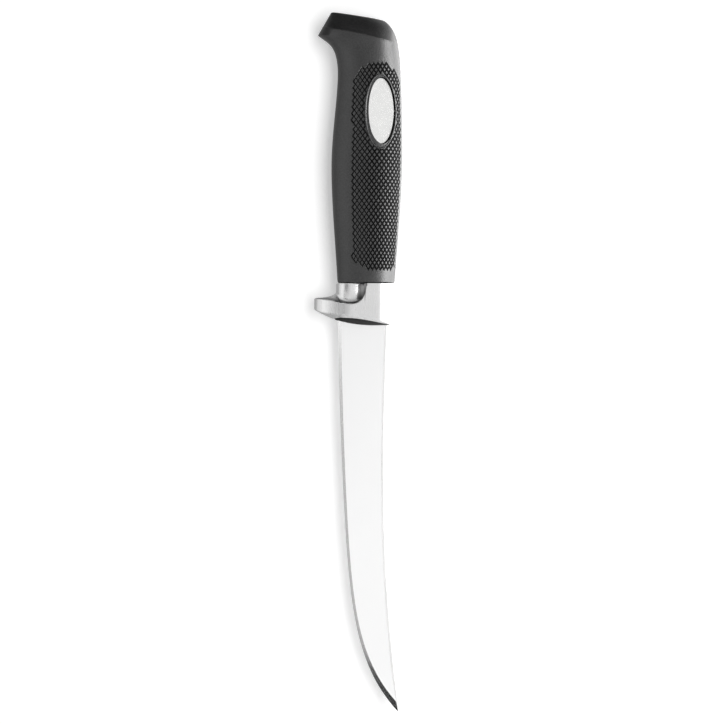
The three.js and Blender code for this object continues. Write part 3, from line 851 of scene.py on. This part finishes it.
# %% [markdown]
# The blade is ground flat on both sides, thinner towards edge and tip, and has a narrow second bevel at the
# cutting edge. Its two outlines are short formulas of the share of its length: the edge sweeps up faster
# and faster, the spine sinks a little and rises to the tip. A ring of the skin is the blade's section:
# cutting edge, shoulder of the bevel, flank, and a spine with broken corners. The bevel has one angle all
# along, so it is wider where the blade is thicker, and at the tip it takes the whole height.

# %% The blade's outlines
BLADE_LENGTH = 153.0
EDGE_X = -11.15
SPINE_X = 8.2
EDGE_SWEEP = 7.5
EDGE_TIP = 16.15
SPINE_SAG = 1.8
SPINE_RISE = 4.6
SPINE_HALF = 1.0
TAPER_ACROSS = 0.02842
TAPER_ALONG = 0.00249
BEVEL_RISE = 0.34
SPINE_CORNER = 0.8


def edge_line(share):
    """X of the cutting edge, from the nose (0) to the tip (1)."""
    return EDGE_X + EDGE_SWEEP * share ** 1.5 + EDGE_TIP * share ** 8


def spine_line(share):
    """X of the blade's back."""
    return SPINE_X - SPINE_SAG * math.sin(math.pi * share) + SPINE_RISE * share ** 3


def flank_half(x, share):
    """Half the blade's thickness at x."""
    return SPINE_HALF - TAPER_ACROSS * (SPINE_X - x) - TAPER_ALONG * BLADE_LENGTH * share


def blade_ring(share, y):
    """The blade's section: near half from the edge to the spine, then the far half back."""
    edge_x = edge_line(share)
    spine_x = spine_line(share)
    height = spine_x - edge_x
    slope = (1.5 * EDGE_SWEEP * share ** 0.5 + 8 * EDGE_TIP * share ** 7) / BLADE_LENGTH
    rise = BEVEL_RISE / math.hypot(1, slope)
    bevel = min(flank_half(edge_x, share) / (rise - TAPER_ACROSS), 0.85 * height)
    corner = min(SPINE_CORNER, 0.1 * height)
    shoulder = edge_x + bevel
    back = spine_x - corner
    across = [shoulder, shoulder + 0.3 * (back - shoulder), shoulder + 0.7 * (back - shoulder), back]
    near = [(x, y, min(flank_half(x, share), rise * (x - edge_x))) for x in across]
    near.append((spine_x, y, near[-1][2] - 0.3 * corner))
    far = [(x, y, -z) for x, y, z in reversed(near)]
    return [(edge_x, y, 0.0)] + near + far


# %% [markdown]
# The tang is a plain bar that goes on inside the handle. Its rings have as many points as the blade's, so
# that one skin runs from the tip to the tang's end. The rings of the blade lie closer together towards the
# tip.

# %% The blade with its tang
TANG_START = -12.1
TANG_END = 70.0
TANG_HALF = (4.5, 1.0)
TANG_ROUND = 0.2
BLADE_STATIONS = 150
TIP_CROWDING = 1.35


def tang_ring(y):
    """The tang's rounded bar, with as many points as the blade's section."""
    half_x, half_z = TANG_HALF
    across = [TANG_ROUND - half_x, -half_x / 3, half_x / 3, half_x - TANG_ROUND]
    near = [(x, y, half_z) for x in across] + [(half_x, y, half_z - TANG_ROUND)]
    far = [(x, y, -z) for x, y, z in reversed(near)]
    return [(-half_x, y, 0.0)] + near + far


blade_shares = 1 - (1 - np.linspace(0, 1, BLADE_STATIONS)) ** TIP_CROWDING
blade_rings = [blade_ring(share, NOSE_Y - share * BLADE_LENGTH) for share in blade_shares[::-1]]
blade_rings.append(blade_ring(0, TANG_START))
blade_rings += [tang_ring(y) for y in (TANG_START + 0.01, TANG_END)]
blade_bm = rolled_skin(blade_rings)
close_ends(blade_bm)
shade(blade_bm, 8)

# %% [markdown]
# The bevel and the spine are finished apart from the flanks, so their faces get material slots of their
# own. The columns of the skin tell them: column 0 is the cutting edge, and columns 5 and 6 are the corners
# of the spine.

# %% Slots for bevel and spine
FLANK_SLOT, BEVEL_SLOT, SPINE_SLOT = range(3)
BEVEL_COLUMNS = ({0, 1}, {0, 10})
SPINE_COLUMNS = ({4, 5}, {5, 6}, {6, 7})
column_layer = blade_bm.verts.layers.int["column"]
for face in blade_bm.faces:
    columns = {vert[column_layer] for vert in face.verts}
    face.material_index = FLANK_SLOT
    if columns in BEVEL_COLUMNS:
        face.material_index = BEVEL_SLOT
    elif columns in SPINE_COLUMNS:
        face.material_index = SPINE_SLOT
blade = add_piece(blade_bm, "ground_blade", "blade_steel", "blade")

# %% [markdown]
# Materials come next. Each one is a Principled shader with a few nodes in front of it. They all read Object
# coordinates, which are metres on the knife, so fine grain is noise at a scale of thousands. A small helper
# links the nodes, to keep the recipes short.

# %% Helpers for the finishes
def new_finish(name, settings=None):
    """A node material whose shader has these settings, and functions to add nodes and feed the shader."""
    material = bpy.data.materials.new(name)
    material.use_nodes = True
    nodes = material.node_tree.nodes
    links = material.node_tree.links
    shader = nodes["Principled BSDF"]
    for key, value in (settings or {}).items():
        shader.inputs[key].default_value = value

    def add(kind, inputs=None, **options):
        node = nodes.new(kind)
        for key, value in options.items():
            setattr(node, key, value)
        for key, value in (inputs or {}).items():
            if isinstance(value, bpy.types.NodeSocket):
                links.new(value, node.inputs[key])
            else:
                node.inputs[key].default_value = value
        return node

    def feed(socket, key):
        links.new(socket, shader.inputs[key])

    return material, add, feed


def grain(add, scale, stretch=(1, 1, 1), detail=3.0, roughness=0.55):
    """Noise on the knife's own coordinates, stretched along its axes."""
    place = add("ShaderNodeTexCoord")
    turn = add("ShaderNodeMapping", {"Vector": place.outputs["Object"], "Scale": stretch})
    noise = add("ShaderNodeTexNoise", {
        "Vector": turn.outputs["Vector"], "Scale": scale, "Detail": detail, "Roughness": roughness})
    return noise.outputs["Fac"]


def spread(add, fac, low, high):
    """Maps the middle of a noise to a range."""
    node = add("ShaderNodeMapRange", {
        "Value": fac, "From Min": 0.3, "From Max": 0.7, "To Min": low, "To Max": high})
    return node.outputs["Result"]


def blend(add, fac, first, second):
    """A colour between two, by a value."""
    node = add("ShaderNodeMix", data_type="RGBA")
    node.inputs["A"].default_value = (*first, 1)
    node.inputs["B"].default_value = (*second, 1)
    node.id_data.links.new(fac, node.inputs["Factor"])
    return node.outputs["Result"]


def bump(add, height, strength, distance):
    """A bump of a real height in metres."""
    node = add("ShaderNodeBump", {"Height": height, "Strength": strength, "Distance": distance})
    return node.outputs["Normal"]


# %% [markdown]
# The grip is black rubber with a satin skin. Rubber is never one black: handling polishes patches of it,
# the mould leaves a fine grain, and dust greys it in specks.

# %% Rubber of the grip
def grip_rubber():
    material, add, feed = new_finish("satin_black_rubber", {"Specular IOR Level": 0.75})
    patches = grain(add, 90, detail=4)
    pores = grain(add, 1600)
    specks = spread(add, pores, 0, 1)
    feed(blend(add, specks, (0.0, 0.0, 0.0), (0.016, 0.016, 0.0165)), "Base Color")
    feed(spread(add, patches, 0.38, 0.46), "Roughness")
    feed(bump(add, pores, 0.8, 0.00012), "Normal")
    return material


# %% [markdown]
# The seal is softer and duller than the grip, with a coarser skin.

# %% Rubber of the seal
def seal_rubber():
    material, add, feed = new_finish("matt_black_filling", {"Specular IOR Level": 0.25})
    skin = grain(add, 1500, detail=4)
    feed(blend(add, skin, (0.005, 0.005, 0.005), (0.015, 0.015, 0.0145)), "Base Color")
    feed(spread(add, skin, 0.55, 0.75), "Roughness")
    feed(bump(add, skin, 0.5, 0.00008), "Normal")
    return material


# %% [markdown]
# The blade is ground along its length and then brushed, which leaves hair lines from heel to tip. Noise
# that is stretched along Y gives those lines. The bevel is honed finer, with its lines across the edge, and
# the spine's steel is darker.

# %% Steel of the blade
LENGTHWISE = (1, 0.02, 1)
CROSSWISE = (0.05, 1, 1)


def brushed_metal(name, tones, cloud_scale, hair_scale, stretch, polish, depth=0.15):
    """Metal with hair lines; tones are its darkest and palest colour, polish its roughness."""
    material, add, feed = new_finish(name, {"Metallic": 1})
    hairs = grain(add, hair_scale, stretch)
    tone = blend(add, grain(add, cloud_scale), *tones)
    feed(tone, "Base Color")
    feed(spread(add, hairs, *polish), "Roughness")
    feed(bump(add, hairs, depth, 0.00002), "Normal")
    return material, tone, add, feed


def ground_steel(name, dark, pale, stretch, polish):
    """Steel of one part of the blade, between two greys."""
    return brushed_metal(name, ((dark,) * 3, (pale,) * 3), 45, 2600, stretch, polish)[0]


def blade_steel():
    return [
        ground_steel("satin_flank_steel", 0.93, 0.97, LENGTHWISE, (0.28, 0.38)),
        ground_steel("honed_bevel_steel", 0.80, 0.86, CROSSWISE, (0.14, 0.22)),
        # the spine's steel is a darker grey than the flank's
        ground_steel("darker_spine_steel", 0.54, 0.62, LENGTHWISE, (0.26, 0.34)),
    ]


# %% [markdown]
# The bolster is polished and keeps a faint lengthwise brushing. An Attribute node reads the layer of
# painted shade on its vertices and darkens the bottom of the cove with it, as painted shade.

# %% Steel of the bolster
def bolster_steel():
    tones = ((0.66, 0.66, 0.66), (0.72, 0.72, 0.72))
    material, tone, add, feed = brushed_metal(
        "polished_bolster_steel", tones, 160, 2200, (1, 0.03, 1), (0.24, 0.34), 0.12)
    # painted shade: the bottom of the cove is darkened in the base colour
    reach = add("ShaderNodeAttribute", attribute_name="reach").outputs["Fac"]
    painted_cove_shade = add("ShaderNodeMapRange", {"Value": reach, "To Min": 0.12, "To Max": 1.0}).outputs["Result"]
    cove_shaded_tone = add("ShaderNodeVectorMath", {0: tone, 1: painted_cove_shade}, operation="MULTIPLY")
    feed(cove_shaded_tone.outputs["Vector"], "Base Color")
    return material


# %% [markdown]
# The plate is satin aluminium with a fine blasted grain.

# %% Aluminium of the plate
def plate_aluminium():
    tones = ((0.66, 0.66, 0.655), (0.72, 0.72, 0.71))
    return brushed_metal("satin_aluminium", tones, 250, 3000, (1, 1, 1), (0.17, 0.25))[0]


# %% [markdown]
# The core and the film are inside and don't show, but they keep their solids and get finishes of their own.

# %% Finishes of the hidden pieces
def plain_skin(name, scale, dark, pale, polish):
    """A dull finish between two colours; polish is its roughness."""
    material, add, feed = new_finish(name)
    skin = grain(add, scale)
    feed(blend(add, skin, dark, pale), "Base Color")
    feed(spread(add, skin, *polish), "Roughness")
    return material


core = plain_skin("moulded_core_plastic", 600, (0.09, 0.09, 0.10), (0.12, 0.12, 0.13), (0.5, 0.65))
film = plain_skin("adhesive_film", 900, (0.72, 0.69, 0.59), (0.78, 0.75, 0.65), (0.45, 0.6))
for node, finish in (("handle_core", core), ("badge_adhesive", film)):
    for material_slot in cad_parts[node].material_slots:
        material_slot.link = "OBJECT"
        material_slot.material = finish
    print(node, "keeps its solid with", finish.name)

# %% [markdown]
# A piece takes its finishes in the order of its material slots. The collar shares the rubber of the grip.

# %% Finishes on the pieces
def paint(piece, *finishes):
    """Gives a piece its finishes, one for each of its material slots."""
    for finish in finishes:
        piece.data.materials.append(finish)


rubber = grip_rubber()
paint(grip, rubber)
paint(collar, rubber)
paint(seal, seal_rubber())
paint(blade, *blade_steel())
paint(bolster, bolster_steel())
paint(plate, plate_aluminium())
print(len(bpy.data.materials), "finishes")

# %% [markdown]
# The knife lies on a white table. The floor is almost white for the light and shows itself to the camera a
# bit brighter than it is lit, so it reads as white paper and still keeps the soft shadow of the knife.

# %% The table
TABLE_HALF = 4
PAPER_GREY = 0.8
PAPER_GLOW = 0.4
table_bm = bmesh.new()
bmesh.ops.create_grid(table_bm, x_segments=1, y_segments=1, size=TABLE_HALF)
table = new_object(table_bm, "table")

paper, add_paper, feed_paper = new_finish("white_paper", {
    "Base Color": (PAPER_GREY, PAPER_GREY, PAPER_GREY, 1),
    "Roughness": 0.9,
    "Specular IOR Level": 0.1,
    "Emission Color": (1, 1, 1, 1),
})


def seen_rays(tree):
    """1 on rays from the camera and from mirrors, else 0."""
    path = tree.nodes.new("ShaderNodeLightPath")
    either = tree.nodes.new("ShaderNodeMath")
    either.operation = "MAXIMUM"
    tree.links.new(path.outputs["Is Camera Ray"], either.inputs[0])
    tree.links.new(path.outputs["Is Glossy Ray"], either.inputs[1])
    return either.outputs["Value"]


glow = add_paper("ShaderNodeMath", {0: seen_rays(paper.node_tree), 1: PAPER_GLOW}, operation="MULTIPLY")
feed_paper(glow.outputs["Value"], "Emission Strength")
table.data.materials.append(paper)
print("table is", 2 * TABLE_HALF, "m wide")

# %% [markdown]
# A large soft box hangs above the knife, a little to the right: it lights the table and leaves a narrow
# soft shadow on the left. It would be a plain white patch in the metal, so mirrored rays don't see it. They
# see a window instead, low on the right, which gives the bright right flank of the grip. The room is white
# to the camera and in the metal, and lights the rest a little less.

# %% Light
def soft_light(name, place, target, width, height, radiance):
    """A rectangular lamp at a place, turned to a target, as bright to look at as radiance says."""
    lamp = bpy.data.lights.new(name, "AREA")
    lamp.shape = "RECTANGLE"
    lamp.size = width
    lamp.size_y = height
    lamp.energy = radiance * math.pi * width * height
    holder = bpy.data.objects.new(name, lamp)
    holder.location = place
    holder.rotation_euler = (Vector(target) - Vector(place)).to_track_quat("-Z", "Y").to_euler()
    bpy.context.scene.collection.objects.link(holder)
    return holder


soft_box = soft_light("soft_box", (0.42, 0.02, 1.04), (0, 0.02, 0), 1.2, 0.6, 4.8)
soft_box.visible_glossy = False
window = soft_light("window", (0.8, 0.06, 0.315), (0, 0.06, 0.315), 0.9, 0.61, 9.0)
window.visible_diffuse = False

ROOM_LIGHT = 0.25
world = bpy.data.worlds.new("white_room")
bpy.context.scene.world = world
world.use_nodes = True
room = world.node_tree.nodes["Background"]
room.inputs["Color"].default_value = (1, 1, 1, 1)
level = world.node_tree.nodes.new("ShaderNodeMapRange")
level.inputs["To Min"].default_value = ROOM_LIGHT
world.node_tree.links.new(seen_rays(world.node_tree), level.inputs["Value"])
world.node_tree.links.new(level.outputs["Result"], room.inputs["Strength"])

# %% [markdown]
# Polished metal in a white room has no shape: it is white on white. Photographers put cards beside the set,
# outside the picture, so that edges and bevels find something dark or bright to mirror. Black cards stand
# behind the pommel and hang beyond the tip. High on the left hang a dark, a grey and a bright card, for the
# bolster's flat, the blade's bevel and the neck. On the table a grey card lies to the left of the knife and
# a bright one to the right. Only mirrored rays see them.

# %% Cards
def card(name, place, target, width, height, grey):
    """A flat card at a place, turned to a target, that only shows in mirrored rays; white is 1."""
    card_bm = bmesh.new()
    bmesh.ops.create_grid(card_bm, x_segments=1, y_segments=1, size=0.5)
    bmesh.ops.scale(card_bm, vec=(width, height, 1), verts=card_bm.verts)
    turn = (Vector(target) - Vector(place)).to_track_quat("-Z", "Y").to_matrix().to_4x4()
    bmesh.ops.transform(card_bm, matrix=Matrix.Translation(place) @ turn, verts=card_bm.verts)
    holder = new_object(card_bm, name)
    glowing = {"Emission Color": (1, 1, 1, 1), "Emission Strength": grey}
    board = new_finish(name, {"Base Color": (0, 0, 0, 1), "Specular IOR Level": 0, **glowing})[0]
    holder.data.materials.append(board)
    holder.visible_camera = False
    holder.visible_diffuse = False
    holder.visible_shadow = False


card("card_pommel", (-0.03, 0.185, 0.036), (-0.03, 0.13, 0.036), 0.2, 0.07, 0.01)
card("card_tip", (-0.535, -0.71, 0.75), (-0.535, -0.69, 0), 0.55, 0.55, 0.01)
card("card_bevel", (-0.52, -0.2, 0.69), (0, -0.2, 0), 0.4, 0.22, 0.5)
card("card_flat", (-0.25, 0.19, 0.75), (0, 0.19, 0), 0.32, 0.28, 0.03)
card("card_bright", (-0.75, 0.05, 0.68), (0, 0.02, 0), 0.5, 0.3, 1.5)
card("card_table_left", (-0.26, 0, 0.0002), (-0.26, 0.001, 1), 0.5, 0.6, 0.5)
card("card_table_right", (0.2735, -0.05, 0.0002), (0.2735, -0.049, 1), 0.5, 0.5, 5.0)

# %% [markdown]
# The photograph is taken square on from above. A long lens keeps the knife free of perspective. Its height
# follows from the width of table that fits in the picture.

# %% Camera
PICTURE_WIDTH = 0.2878
PICTURE_CENTRE = (0.00156, -0.00011)
LENS = 120.0
SENSOR = 36.0
camera_data = bpy.data.cameras.new("camera")
camera_data.lens = LENS
camera_data.sensor_width = SENSOR
camera_data.sensor_fit = "HORIZONTAL"
camera = bpy.data.objects.new("camera", camera_data)
camera.location = (*PICTURE_CENTRE, knife_origin.z + PICTURE_WIDTH * LENS / SENSOR)
bpy.context.scene.collection.objects.link(camera)
bpy.context.scene.camera = camera
bpy.context.scene.view_settings.view_transform = "Standard"
print("camera stands", round(camera.location.z, 3), "m above the table")
